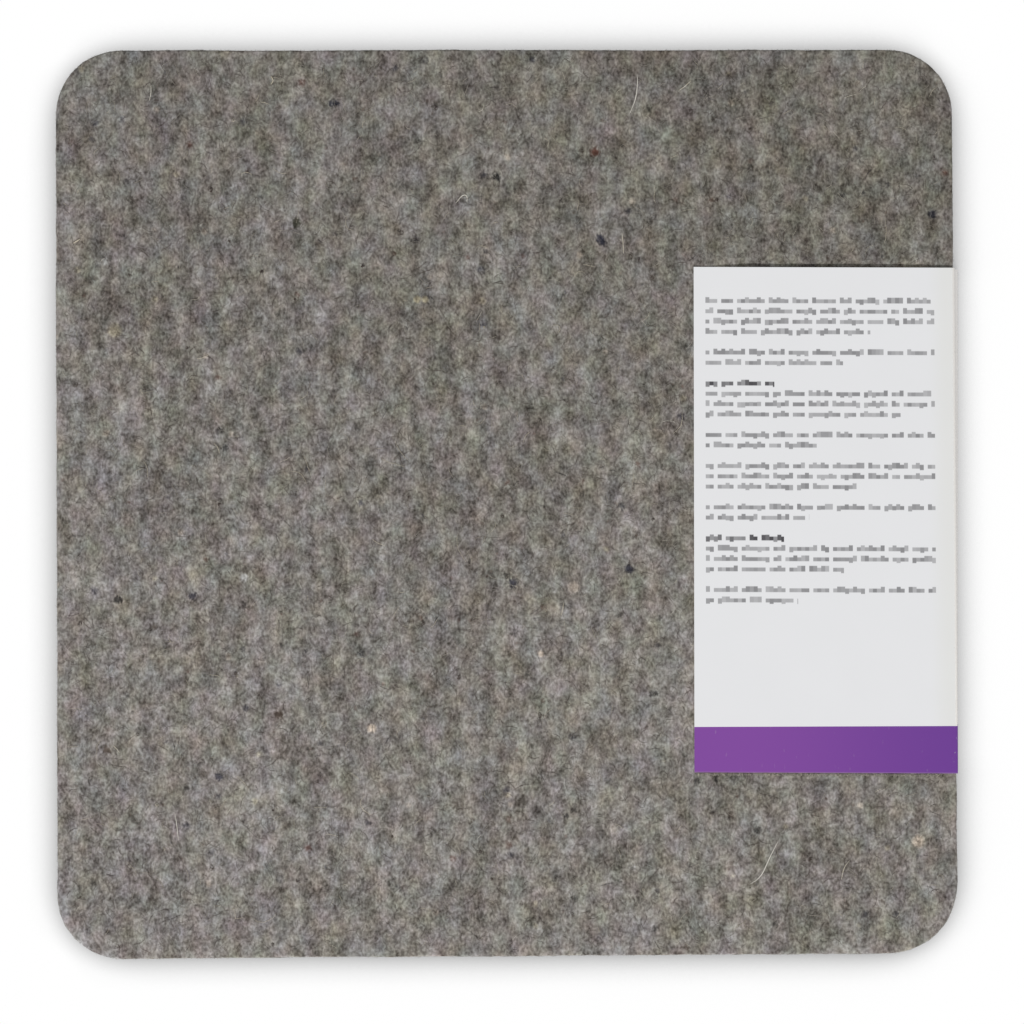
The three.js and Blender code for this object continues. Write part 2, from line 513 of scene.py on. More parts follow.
def edge_fringe(material):
    """Strands along the cut edges, lying in the felt's layers."""
    steps = np.linspace(-0.5, 0.5, FUZZ_POINTS)
    lengths = rng.uniform(2.5, 8.0, FRINGE_COUNT) * MM
    middles = rng.uniform(0, 4, FRINGE_COUNT)
    places = middles[:, None] + lengths[:, None] / (2 * MAT_HALF) * steps
    heights = rng.uniform(1.6 * MM, MAT_TOP - 1.4 * MM, FRINGE_COUNT)
    heights = heights[:, None] + rng.normal(0, 0.5, (FRINGE_COUNT, 1)) * MM * steps
    lift = -0.05 * MM + rng.uniform(0.08, 0.32, (FRINGE_COUNT, 1)) * MM * arch(FUZZ_POINTS)
    a, b = square_ring(places.ravel())
    plan, outward = rounded_square(a, b, np.zeros(places.size))
    nominal = np.column_stack([plan, heights.ravel()])
    out = np.column_stack([outward, np.zeros(places.size)])
    skin = cut_outline(nominal) + out * (felt_relief(nominal) + lift.ravel())[:, None]
    lines = skin.reshape(*places.shape, 3)
    clear = ~(under_card(lines, CARD_MARGIN) & (lines[..., 0] > 0)).any(axis=1)
    return wool("edge_fringe", lines[clear], material, widths=(0.07, 0.15), tones=(0.5, 0.17))


def edge_halo(material):
    """Short pale strands that stick out of the cut edges and soften the outline."""
    a, b = square_ring(rng.uniform(0, 4, HALO_COUNT))
    plan, outward = rounded_square(a, b, np.zeros(HALO_COUNT))
    clear = ~under_card(plan, CARD_MARGIN)
    plan, outward = plan[clear], outward[clear]
    count = len(plan)
    root = cut_outline(np.column_stack([plan, rng.uniform(1.4 * MM, MAT_TOP - 0.9 * MM, count)]))
    zero = np.zeros(count)
    out = np.column_stack([outward, zero])
    aside = np.column_stack([-outward[:, 1], outward[:, 0], zero])
    share = np.linspace(0, 1, HALO_POINTS)[:, None]
    reach = rng.uniform(0.2, 0.9, (count, 1, 1)) * MM
    lean = rng.normal(0, 0.6, (count, 1, 1)) * MM
    rise = rng.normal(0, 0.3, (count, 1, 1)) * MM
    lines = root[:, None] + out[:, None] * (reach * share - HALO_ROOT * (1 - share))
    lines = lines + aside[:, None] * lean * share ** 2 + np.array([0, 0, 1]) * rise * share ** 2
    return wool("edge_halo", lines, material, widths=(0.07, 0.13), tones=(0.68, 0.12))


def card_edge_fringe(material):
    """Short strands that stand up beside the back leaf's near edge and reach over it."""
    count = CARD_FRINGE_COUNT
    x = rng.uniform(leaf_low[0] - 1 * MM, leaf_high[0] - 8 * MM, count)
    fold = (x - leaf_low[0]) / (CREASE_X - leaf_low[0])
    edge = leaf_low[1] + part_way((FREE_CORNERS[0, 1], FOLD_CORNERS[0, 1]), fold)
    foot = edge - rng.uniform(0.85, 2.05, count) * MM
    tip = edge + rng.uniform(-0.65, 0.25, count) * MM
    share = np.linspace(0, 1, FUZZ_POINTS)
    lines = np.empty((count, FUZZ_POINTS, 3))
    lines[..., 0] = x[:, None] + rng.normal(0, 1.0, (count, 1)) * MM * share
    lines[..., 1] = foot[:, None] + (tip - foot)[:, None] * share
    top = leaf_high[2] - NEAR_DROP + rng.uniform(0.10, 0.35, count) * MM
    rise = (top - MAT_TOP)[:, None] * np.sin(share * CARD_FRINGE_ARCH)
    lines[..., 2] = MAT_TOP - 0.1 * MM + np.maximum(rise, 0)
    return wool("card_edge_fringe", lines, material, widths=(0.10, 0.22), tones=(0.70, 0.13))


# Long hairs that the photograph shows: width in mm, tone, and pixels of it along each hair
PHOTO_HAIRS = (
    (0.48, 1.05, ((637.5, 72), (638, 82), (636, 98), (629.5, 113))),
    (0.36, 0.95, ((679, 89), (686, 84), (692, 78))),
    (0.55, 1.05, ((780, 839), (774, 850), (768.8, 860), (765.5, 868), (762, 876), (757, 881), (749, 885))),
    (0.36, 0.95, ((851, 860), (845.5, 866), (843, 873), (842, 881))),
    (0.46, 1.00, ((455.5, 203), (462, 194.5), (465.8, 193.3), (468, 197), (466.5, 202))),
    (0.38, 1.00, ((151, 84), (151, 93), (149, 101))),
    (0.36, 0.95, ((622.5, 231), (623.5, 242), (624, 253))),
    (0.30, 0.92, ((563.5, 602), (563, 609), (561, 616))),
    (0.62, 0.90, ((73, 244), (77, 241.5), (81, 239))),
    (0.40, 0.98, ((175.5, 811), (177.5, 822), (178.5, 832), (179.5, 840))),
    (0.30, 0.88, ((213.5, 443), (218, 447.5), (220, 454.5))),
    (0.36, 0.95, ((114, 745), (117.5, 748), (120.5, 752))),
    (0.50, 0.90, ((270.5, 75), (273.5, 80), (270.5, 84.5))),
)


def through(corners, points):
    """Evenly spaced points on a smooth line through the corners."""
    corners = np.asarray(corners, dtype=float)
    knots = np.concatenate([[0], np.cumsum(np.linalg.norm(np.diff(corners, axis=0), axis=1))])
    places = np.linspace(0, knots[-1], points)
    line = np.stack([np.interp(places, knots, column) for column in corners.T], axis=1)
    for _ in range(3):
        line[1:-1] = (line[:-2] + 2 * line[1:-1] + line[2:]) / 4
    return line


def guard_hairs(material):
    """Long pale hairs lying loose on the pressing face."""
    shown = np.stack([
        through([photo_place(*pixel) for pixel in pixels], HAIR_POINTS) for _, _, pixels in PHOTO_HAIRS
    ])
    loose = scattered(
        HAIR_COUNT, HAIR_POINTS, MAT_HALF * HAIR_SPREAD,
        turn=1.0, lengths=(6, 16), curl=1.8, edge=3 * MM, card=1 * MM,
    )
    plan = np.concatenate([shown, loose])
    lift = rng.uniform(0.12, 0.35, (len(plan), 1)) * MM * arch(HAIR_POINTS)
    kinds = [hair[:2] for hair in PHOTO_HAIRS] + [(HAIR_WIDTH, HAIR_TONE)] * len(loose)
    widths, tones = np.array(kinds).T
    radii = tapered(widths * MM, HAIR_POINTS)
    return strands("guard_hairs", lying_lines(plan, lift), radii, tones, material)


def neps(material):
    """Small tangles of curled strands on the pressing face, dark, brown or pale."""
    plan = rng.uniform(-MAT_HALF, MAT_HALF, (NEP_COUNT, 2))
    plan = plan[(depth_inside(plan) > 5 * MM) & ~under_card(plan, CARD_MARGIN)]
    tones = rng.choice(NEP_TONES, len(plan))
    tangles = np.column_stack([plan, rng.uniform(0.5, 1.2, len(plan)) * MM, tones])
    tangles = np.repeat(tangles, NEP_STRANDS, axis=0)
    count = len(tangles)
    radii = tangles[:, 2:3]
    ring = radii * rng.uniform(0.08, 0.92, (count, 1))
    sweep = rng.uniform(1.2, 3.4, (count, 1)) * np.linspace(-0.5, 0.5, FUZZ_POINTS)
    angle = rng.uniform(0, 2 * math.pi, (count, 1)) + sweep
    middles = tangles[:, :2] + rng.normal(0, 0.25, (count, 2)) * radii
    turn = np.stack([np.cos(angle), NEP_STRETCH * np.sin(angle)], axis=2)
    plan = middles[:, None] + ring[..., None] * turn
    heap = rng.uniform(0.0, 0.3, (count, 1)) * (radii - 0.6 * ring)
    lift = heap + 0.12 * MM * arch(FUZZ_POINTS)
    widths = rng.uniform(0.12, 0.24, count) * MM
    tones = np.clip(tangles[:, 3] + rng.normal(0, 0.06, count), 0, 1)
    return strands("neps", lying_lines(plan, lift), tapered(widths, FUZZ_POINTS), tones, material)


# Card

def card_path():
    """The paper's middle from the back leaf's free edge over the spine to the front leaf's.

    Gives points as (stations, rows, 3) with the rows across the card, an outward direction for each
    station, and the distance along the paper.
    """
    y = np.linspace(leaf_low[1], leaf_high[1], WIDTH_STEPS + 1)
    far = (y - leaf_low[1]) / CARD_WIDTH
    bend = part_way(FOLD_BEND, far)
    turn = np.linspace(0, math.pi / 2, BEND_STEPS + 1)
    slanted = turn[1:, None] / (math.pi / 2)
    out = part_way((slanted, np.sin(turn[1:, None])), FOLD_ROUNDNESS)
    down = part_way((slanted, 1 - np.cos(turn[1:, None])), FOLD_ROUNDNESS)
    leaf_share = np.append(np.linspace(0, LAST_STEP, LEAF_STEPS), 1.0)[:, None]
    leaf_x = leaf_low[0] + (CREASE_X - bend - leaf_low[0]) * leaf_share
    leaf_x = np.concatenate([leaf_x, CREASE_X - bend * (1 - out)])
    off_plane = np.concatenate([np.zeros((LEAF_STEPS + 1, len(y))), bend * down])
    leaf_tilt = np.concatenate([np.zeros(LEAF_STEPS), turn])

    spine_share = np.linspace(0, 1, SPINE_STEPS + 1)[1:-1, None]
    spine_z = part_way((UPPER_CREASE_Z - bend, LOWER_CREASE_Z + bend), spine_share)
    x = np.concatenate([leaf_x, np.full_like(spine_z, CREASE_X), leaf_x[::-1]])
    z = np.concatenate([UPPER_CREASE_Z - off_plane, spine_z, LOWER_CREASE_Z + off_plane[::-1]])
    tilt = np.concatenate([leaf_tilt, np.full(SPINE_STEPS - 1, math.pi / 2), math.pi - leaf_tilt[::-1]])
    outward = np.stack([np.sin(tilt), np.zeros(len(tilt)), np.cos(tilt)], axis=1)
    middle = np.stack([x, np.broadcast_to(y, x.shape), z], axis=2)
    steps = np.linalg.norm(np.diff(middle, axis=0), axis=2)
    along = np.concatenate([np.zeros((1, len(y))), np.cumsum(steps, axis=0)])

    climb = np.clip((z - SPINE_MIDDLE_Z) / (UPPER_CREASE_Z - SPINE_MIDDLE_Z), 0, 1)
    middle[..., :2] += out_of_square(x, far) * climb[..., None]
    middle[..., 2] -= NEAR_DROP * climb * (1 - smooth(far / DROP_SHARE))
    height = np.clip((z - LOWER_CREASE_Z) / (BOW_TOP - LOWER_CREASE_Z), 0, 1)
    middle[..., 0] += part_way(SPINE_BOW, far) * BOW_GAIN * height * (1 - height) ** 2
    return middle, outward, along


def out_of_square(x, far):
    """How far the back leaf's points lie off a true rectangle, seen from above: (stations, rows, 2)."""
    fold = np.clip((x - leaf_low[0]) / (CREASE_X - leaf_low[0]), 0, 1)[..., None]
    free, folded = (part_way(corners, far[:, None]) for corners in (FREE_CORNERS, FOLD_CORNERS))
    return part_way((free, folded), fold)


def card_piece(name, material, span):
    """A span of the stations of the card's path, as a closed sheet of paper."""
    middle, outward, along = (values[span] for values in card_path())
    stations, rows = along.shape
    outer, inner = (middle + side * outward[:, None] * CARD_THICKNESS / 2 for side in (1, -1))
    points = np.concatenate([outer.reshape(-1, 3), inner.reshape(-1, 3)])

    index = np.arange(stations * rows).reshape(stations, rows)
    quads = grid_quads(index)
    rim = np.concatenate([index[:, 0], index[-1, 1:], index[-2::-1, -1], index[0, -2:0:-1]])
    following = np.roll(rim, -1)
    below = stations * rows
    rim_quads = np.stack([rim, below + rim, below + following, following], axis=1)
    faces = [quads, below + quads[:, ::-1], rim_quads]

    far = np.broadcast_to(np.linspace(0, 1, rows), along.shape)
    print_map = np.stack([along, far * CARD_WIDTH], axis=2).reshape(-1, 2) / MM
    print_map = np.concatenate([print_map, print_map])
    sheet_map = np.stack([(along - along[0]) / (along[-1] - along[0]), far], axis=2).reshape(-1, 2)
    start = np.arange(len(rim)) / len(rim)
    end = start + 1 / len(rim)
    zero, one = np.zeros_like(start), np.ones_like(start)
    rim_map = np.stack([start, one, start, zero, end, zero, end, one], axis=1).reshape(-1, 4, 2)
    maps = {
        "OFBake": [
            into_box(sheet_map[quads], *OUTER_BOX),
            into_box(sheet_map[quads[:, ::-1]], *INNER_BOX),
            into_box(rim_map, *RIM_BOX),
        ],
        "print": [print_map[face] for face in faces],
        "side": [np.zeros((len(quads), 4, 2)), np.ones((len(quads), 4, 2)), np.ones((len(rim), 4, 2))],
    }
    piece = add_mesh(name, points, faces, material, maps)
    piece.data.set_sharp_from_angle(angle=SHARP_ANGLE)
    return piece


# Materials

class Shader:
    """A material's node tree, with short ways to add nodes."""

    def __init__(self, name):
        self.material = bpy.data.materials.new(name)
        self.material.use_nodes = True
        self.tree = self.material.node_tree
        self.surface = self.tree.nodes["Principled BSDF"]

    def feed(self, socket, value):
        if isinstance(value, bpy.types.NodeSocket):
            self.tree.links.new(value, socket)
        else:
            socket.default_value = value

    def add(self, kind, inputs=None, output=0, **settings):
        node = self.tree.nodes.new(kind)
        for key, value in settings.items():
            setattr(node, key, value)
        for key, value in (inputs or {}).items():
            self.feed(node.inputs[key], value)
        return node.outputs[output]

    def set(self, **values):
        """Sets the shader's own sockets. Underscores in the names stand for spaces."""
        for key, value in values.items():
            self.feed(self.surface.inputs[key.replace("_", " ")], value)

    def math(self, operation, *values):
        return self.add("ShaderNodeMath", dict(enumerate(values)), operation=operation)

    def product(self, first, *others):
        for other in others:
            first = self.math("MULTIPLY", first, other)
        return first

    def vector(self, operation, *values):
        return self.add("ShaderNodeVectorMath", dict(enumerate(values)), operation=operation)

    def scaled(self, vector, factor):
        return self.add("ShaderNodeVectorMath", {"Vector": vector, "Scale": factor}, operation="SCALE")

    def axes(self, vector):
        """The three numbers of a vector."""
        node = self.tree.nodes.new("ShaderNodeSeparateXYZ")
        self.feed(node.inputs[0], vector)
        return node.outputs[0], node.outputs[1], node.outputs[2]

    def joined(self, *numbers):
        return self.add("ShaderNodeCombineXYZ", dict(enumerate(numbers)))

    def uv(self, name):
        return self.add("ShaderNodeUVMap", uv_map=name)

    def noise(self, place, cells, detail=2.0, output="Fac"):
        """Noise in space, with cells of these three lengths."""
        inputs = {"Vector": self.vector("DIVIDE", place, cells), "Scale": 1.0, "Detail": detail}
        return self.add("ShaderNodeTexNoise", inputs, output)

    def hash(self, *numbers):
        """A random number from 0 to 1 for each different set of numbers."""
        return self.add("ShaderNodeTexWhiteNoise", {"Vector": self.joined(*numbers)}, "Value")

    def step(self, value, low, high, to_low=0.0, to_high=1.0):
        inputs = {"Value": value, "From Min": low, "From Max": high, "To Min": to_low, "To Max": to_high}
        return self.add("ShaderNodeMapRange", inputs, interpolation_type="SMOOTHSTEP")

    def mix(self, factor, first, second):
        return self.add("ShaderNodeMix", {0: factor, 6: first, 7: second}, 2, data_type="RGBA")

    def between(self, factor, first, second):
        return self.add("ShaderNodeMix", {0: factor, 2: first, 3: second}, 0)

    def ramp(self, factor, stops, interpolation="LINEAR"):
        """A colour for each number. stops is a list of (place, colour)."""
        node = self.tree.nodes.new("ShaderNodeValToRGB")
        node.color_ramp.interpolation = interpolation
        elements = node.color_ramp.elements
        while len(elements) < len(stops):
            elements.new(1.0)
        for element, (place, colour) in zip(elements, stops):
            element.position = place
            element.color = colour
        self.feed(node.inputs[0], factor)
        return node.outputs[0]

    def bump(self, height, distance):
        inputs = {"Height": height, "Distance": distance, "Strength": 1.0}
        return self.add("ShaderNodeBump", inputs, "Normal")


def srgb(red, green, blue):
    """A colour given as screen values from 0 to 255, as the linear colour that a shader takes."""
    levels = np.array([red, green, blue]) / 255
    linear = np.where(levels <= 0.04045, levels / 12.92, ((levels + 0.055) / 1.055) ** 2.4)
    return (*linear.tolist(), 1.0)


# The felt's colour and its mottling, with cells in mm along X, Y and Z
FELT_COLOUR = srgb(123.0, 118.6, 112.9)
FELT_LAYERS = (  # cells, detail and weight
    ((1.25, 1.75, 0.9), 1.5, 2.25),
    ((3.2, 4.4, 1.5), 0.0, 1.06),
    ((5.6, 7.0, 2.5), 0.0, 0.79),
    ((7.0, 26.0, 3.0), 0.0, 0.85),
    ((30.0, 100.0, 40.0), 0.0, 0.30),
)
SWIRL_CELLS, SWIRL_REACH = (3.6, 4.4, 2.4), 1.3
TINT_CELLS = (9.5, 13.0, 4.0)  # of the drift between warm and cool wool,
TINT_DRIFT = (0.30, 0.14, 0.42)  # and how far red, green and blue drift
SKEW = -0.17  # of the mottling, towards the dark
LEAST_LIGHT = 0.2
SCREEN_POWER = 2.2  # from the screen's levels to linear light,
LIGHT_POWERS = (2.10, 2.20, 2.28)  # which makes dark wool a little warmer
# Painted shade: the felt's colour grows darker towards +X and towards +Y, the far side
PAINTED_SHADE_X = (-0.00025, -0.00025, -0.00035)  # change of red, green and blue for each mm
PAINTED_SHADE_Y = (-0.00058, -0.00058, -0.00066)

# Tints of the dyed wool in the felt
NAVY = srgb(44, 45, 57)
BLACK = srgb(40, 39, 38)
RUST = srgb(88, 54, 44)
BROWN = srgb(68, 56, 46)
OLIVE = srgb(62, 63, 50)
CREAM = srgb(182, 168, 153)
STRAW = srgb(166, 157, 132)
PALE = srgb(164, 163, 160)
DARK_FRAY, PALE_FRAY = 3.0, -1.1  # mm, how far the grain frays the tufts' outlines
TUFT_CORE = 0.2  # mm, where a random tuft is whole,
SHOWN_CORE = 0.3  # and a shown one, as a share of its radius

# Random tufts: fray, cell in mm, share of the cells that hold one, radius in mm, tints and strength
TUFT_LAYERS = (
    (DARK_FRAY, 9.0, 0.22, 2.1, (RUST, NAVY, OLIVE, BROWN, BLACK), 0.5),
    (PALE_FRAY, 12.0, 0.25, 2.4, (STRAW, PALE, CREAM), 0.45),
    (DARK_FRAY, 14.0, 0.35, 2.9, (NAVY, RUST, BLACK, BROWN, NAVY), 0.7),
)

# Flecks: cells in mm, levels of their noise, tints, where those lie in a second noise, and strength
FLECK_CELLS, FLECK_LEVELS = (3.4, 4.4, 3.0), (0.36, 0.16)
FLECK_TINTS, FLECK_KINDS = (RUST, BROWN, BLACK, OLIVE, NAVY), (0.3, 0.7)
FLECK_STRENGTH = 0.55

# Tufts that the photograph shows: its pixels, radius in mm and strength
DARK_TUFTS = {
    NAVY: (
        (600, 237, 2.8, 0.9), (603, 241, 3.0, 0.95), (513, 583, 3.4, 0.85), (331, 103, 2.4, 0.8),
        (336, 103, 2.4, 0.9), (629, 569, 3.2, 0.9), (935, 212, 3.4, 0.9), (220, 776, 2.9, 0.8),
        (193, 596, 2.8, 0.75),
    ),
    BLACK: (
        (697, 781, 2.6, 0.8), (716, 779, 2.6, 0.8), (497, 177, 2.9, 1.0), (119, 600, 3.0, 0.85),
        (758, 830, 2.5, 0.75), (654, 694, 2.8, 0.75), (225, 448, 2.5, 0.8),
    ),
    BROWN: ((108, 749, 3.2, 0.8), (279, 714, 3.4, 0.8)),
    OLIVE: ((296, 223, 3.2, 0.85),),
    RUST: ((595, 151, 3.2, 0.9),),
}
PALE_TUFTS = {
    CREAM: ((919, 842, 4.0, 0.85), (372, 728, 2.9, 1.0), (541, 654, 2.2, 0.7), (574, 587, 3.6, 0.5)),
    STRAW: ((417, 299, 2.5, 0.8), (425, 299, 2.5, 0.8), (115, 331, 4.6, 0.6)),
    PALE: ((244, 578, 2.8, 0.8),),
}


def tufts(shader, place, fray, colour, cell, share, radius, tints, strength):
    """Blends soft tufts of dyed wool into a colour. share is how many of the cells hold one."""
    node = shader.tree.nodes.new("ShaderNodeTexVoronoi")
    shader.feed(node.inputs["Vector"], place)
    node.inputs["Scale"].default_value = 1 / cell
    chance, kind, _ = shader.axes(node.outputs["Color"])
    distance = shader.math("MULTIPLY_ADD", node.outputs["Distance"], cell, fray)
    spot = shader.step(distance, radius, TUFT_CORE, 0.0, strength)
    picked = shader.math("LESS_THAN", chance, share)
    tint = shader.ramp(kind, [(k / len(tints), tint) for k, tint in enumerate(tints)], "CONSTANT")
    return shader.mix(shader.product(spot, picked), colour, tint)


def shown_tufts(shader, place, fray, colour, shown):
    """Blends in the tufts that the photograph shows."""
    for tint, spots in shown.items():
        for x, y, radius, strength in spots:
            middle = cut_outline(np.array([[*photo_place(x, y), MAT_TOP]]))[0] / MM
            inputs = {0: place, 1: middle}
            distance = shader.add("ShaderNodeVectorMath", inputs, "Value", operation="DISTANCE")
            distance = shader.math("ADD", distance, fray)
            spot = shader.step(distance, radius, SHOWN_CORE * radius, 0.0, strength)
            colour = shader.mix(spot, colour, tint)
    return colour


def flecks(shader, place, colour):
    """Blends in irregular flecks of dyed wool, where a noise runs from one level to another."""
    level, kind, _ = shader.axes(shader.noise(place, FLECK_CELLS, 1.0, "Color"))
    spot = shader.step(level, *FLECK_LEVELS, 0.0, FLECK_STRENGTH)
    places = np.linspace(*FLECK_KINDS, len(FLECK_TINTS))
    return shader.mix(spot, colour, shader.ramp(kind, list(zip(places, FLECK_TINTS))))


def felt_material():
    """Needled grey wool: fine grain, tufts and cloudy streaks along Y, with stray coloured wool."""
    shader = Shader("wool_felt")
    middle, one = (0.5, 0.5, 0.5), (1.0, 1.0, 1.0)
    bare_place = shader.scaled(shader.add("ShaderNodeTexCoord", output="Object"), 1 / MM)
    swirl = shader.vector("SUBTRACT", shader.noise(bare_place, SWIRL_CELLS, output="Color"), middle)
    place = shader.vector("ADD", bare_place, shader.scaled(swirl, SWIRL_REACH))

    layers = []
    for cells, detail, _ in FELT_LAYERS:
        layers.append(shader.math("SUBTRACT", shader.noise(place, cells, detail), 0.5))
    total = shader.product(layers[0], FELT_LAYERS[0][2])
    for layer, (_, _, weight) in zip(layers[1:], FELT_LAYERS[1:]):
        total = shader.math("MULTIPLY_ADD", layer, weight, total)

    tint = shader.vector("SUBTRACT", shader.noise(place, TINT_CELLS, output="Color"), middle)
    tint = shader.vector("MULTIPLY_ADD", tint, TINT_DRIFT, one)
    colour = shader.vector("MULTIPLY", tint, FELT_COLOUR[:3])
    frays = {reach: shader.product(layers[0], reach) for reach in (DARK_FRAY, PALE_FRAY)}
    for fray, *kind in TUFT_LAYERS:
        colour = tufts(shader, place, frays[fray], colour, *kind)
    colour = flecks(shader, place, colour)
    for fray, shown in ((DARK_FRAY, DARK_TUFTS), (PALE_FRAY, PALE_TUFTS)):
        colour = shown_tufts(shader, place, frays[fray], colour, shown)

    swing = shader.product(total, 1 / SCREEN_POWER)
    bright = shader.math("MULTIPLY_ADD", shader.product(swing, swing), SKEW, shader.math("ADD", swing, 1.0))
    bright = shader.math("MAXIMUM", bright, LEAST_LIGHT)
    levels = [shader.math("POWER", bright, power) for power in LIGHT_POWERS]
    colour = shader.vector("MULTIPLY", colour, shader.joined(*levels))
    x, y, _ = shader.axes(bare_place)
    # painted shade: darker towards +X and +Y
    painted_shade = shader.vector("MULTIPLY_ADD", shader.joined(x, x, x), PAINTED_SHADE_X, one)
    painted_shade = shader.vector("MULTIPLY_ADD", shader.joined(y, y, y), PAINTED_SHADE_Y, painted_shade)
    colour = shader.vector("MULTIPLY", colour, painted_shade)
    shader.set(
        Base_Color=colour,
        Roughness=1.0,
        Specular_IOR_Level=0.1,
        Sheen_Weight=0.06,
        Sheen_Roughness=0.6,
        Normal=shader.bump(total, 0.20 * MM),
    )
    return shader.material


def strand_material():
    """Single wool fibres, from navy and brown over grey to cream."""
    shader = Shader("wool_strand")
    tone, _, _ = shader.axes(shader.uv("strand"))
    place = shader.scaled(shader.add("ShaderNodeTexCoord", output="Object"), 1 / MM)
    mottle = shader.noise(place, (0.625, 0.625, 0.625))
    tone = shader.math("ADD", tone, shader.product(shader.math("SUBTRACT", mottle, 0.5), 0.25))
    colour = shader.ramp(tone, [
        (0.0, srgb(46, 46, 54)),
        (0.12, srgb(70, 52, 48)),
        (0.24, srgb(86, 74, 66)),
        (0.5, srgb(124, 120, 114)),
        (0.78, srgb(164, 158, 148)),
        (0.92, srgb(206, 196, 174)),
        (1.0, srgb(224, 220, 210)),
    ])
    shader.set(
        Base_Color=colour,
        Roughness=0.85,
        Specular_IOR_Level=0.25,
        Sheen_Weight=0.05,
        Normal=shader.bump(mottle, 0.08 * MM),
    )
    return shader.material


# The printed rows of plain bars: (weight, rows, length of the last row)
PRINT_LAYOUT = (
    (0.7, 4, 0.72), (0, 1, 0), (0.7, 2, 0.6), (0, 1, 0), (1, 1, 0.3), (0.7, 3, 0.85), (0, 1, 0),
    (0.7, 2, 0.5), (0, 1, 0), (0.7, 3, 0.66), (0, 1, 0), (0.7, 2, 0.45), (0, 1, 0), (1, 1, 0.34),
    (0.7, 3, 0.6), (0, 1, 0), (0.7, 2, 0.4),
)


def printed_rows(shader, across, up):
    """How much ink the rows of plain bars leave at each place of the back leaf."""
    rows = sum(count for _, count, _ in PRINT_LAYOUT)
    stops, row = [], 0
    for weight, count, last in PRINT_LAYOUT:
        if count > 1:
            stops.append((row / rows, (weight, 1.0, 0, 1)))
        row += count
        stops.append(((row - 1) / rows, (weight, last, 0, 1)))
    row_place = shader.math("DIVIDE", shader.math("SUBTRACT", PRINT_TOP, up), ROW_PITCH)
    number = shader.math("FLOOR", row_place)
    share = shader.math("DIVIDE", shader.math("ADD", number, 0.5), rows)
    weight, length, _ = shader.axes(shader.ramp(share, stops, "CONSTANT"))
    inside = shader.product(
        shader.math("GREATER_THAN", row_place, 0.0),
        shader.math("LESS_THAN", row_place, float(rows)),
        shader.math("GREATER_THAN", across, PRINT_LEFT),
        shader.math("LESS_THAN", across, shader.math("MULTIPLY_ADD", length, PRINT_WIDTH, PRINT_LEFT)),
    )
    from_left = shader.math("SUBTRACT", across, PRINT_LEFT)
    block = shader.math("FLOOR", shader.math("DIVIDE", from_left, BLOCK_WIDTH))
    bar_number = shader.math("FLOOR", shader.math("DIVIDE", block, float(BLOCKS_IN_BAR)))
    in_bar = shader.math("MULTIPLY_ADD", bar_number, -float(BLOCKS_IN_BAR), block)
    chance = shader.hash(bar_number, number, 3.0)
    gap = shader.math("FLOOR", shader.math("MULTIPLY_ADD", chance, GAP_CHOICES, 1.0))
    filled = shader.math("GREATER_THAN", shader.math("ABSOLUTE", shader.math("SUBTRACT", in_bar, gap)), 0.5)

    kind = shader.hash(block, number, 5.0)
    height = shader.math("FRACT", row_place)
    top = shader.step(kind, *TALL_KINDS, BLOCK_TOP, TALL_TOP)
    foot = shader.step(kind, *DEEP_KINDS, DEEP_FOOT, BLOCK_FOOT)
    above = shader.step(shader.math("SUBTRACT", height, top), *BLOCK_BLUR)
    below = shader.step(shader.math("SUBTRACT", foot, height), *BLOCK_BLUR)
    density = shader.math("MULTIPLY_ADD", shader.hash(block, number, 9.0), 0.5, 0.75)
    return shader.product(inside, filled, above, below, density, weight)


# Colours of the card, and its tints and wear by mm from the upper fold, levels of noise and strength
WHITE, FOLD_SIDE_WHITE = srgb(227.6, 228.0, 229.8), srgb(224.6, 224.8, 223.0)
INK = srgb(72, 70, 74)
PURPLE, SHADED_FOLD_PURPLE = srgb(125, 66.5, 154.5), srgb(105, 53, 144)
WORN_PAPER = srgb(208, 203, 199)
SPINE_WARM_LIGHT = srgb(242, 234, 224)
NEAR_END_HIGHLIGHT = srgb(190, 170, 176)
BOARD = srgb(222, 218, 208)
INK_STRENGTH = 0.85
FOLD_TONE_FROM, FOLD_TONE_TO = 14.0, 3.0  # a little darker and warmer white, between these distances before the fold
SWEEP_FROM, SWEEP_TO = 15.0, 10.0  # of the band's darkening towards and over the fold, painted shade over the fold: mm from the free edge, and past the fold
CREASE_REACH, CREASE_CORE = 2.0, 0.3
CHIP_LEVELS, CHIP_STRENGTH = (0.66, 0.72), 0.75
SCUFF_LEVELS, SCUFF_STRENGTH = (0.68, 0.74), 0.12
SPINE_FROM, SPINE_TO, SPINE_STRENGTH = 1.2, (14.5, 12.5), 0.45  # of the cream tint on the spine, painted warm light, before and past the fold
EDGE_REACH, EDGE_CORE, EDGE_STRENGTH = 0.6, 0.1, 0.3  # of the painted highlight along the near end, mm from it
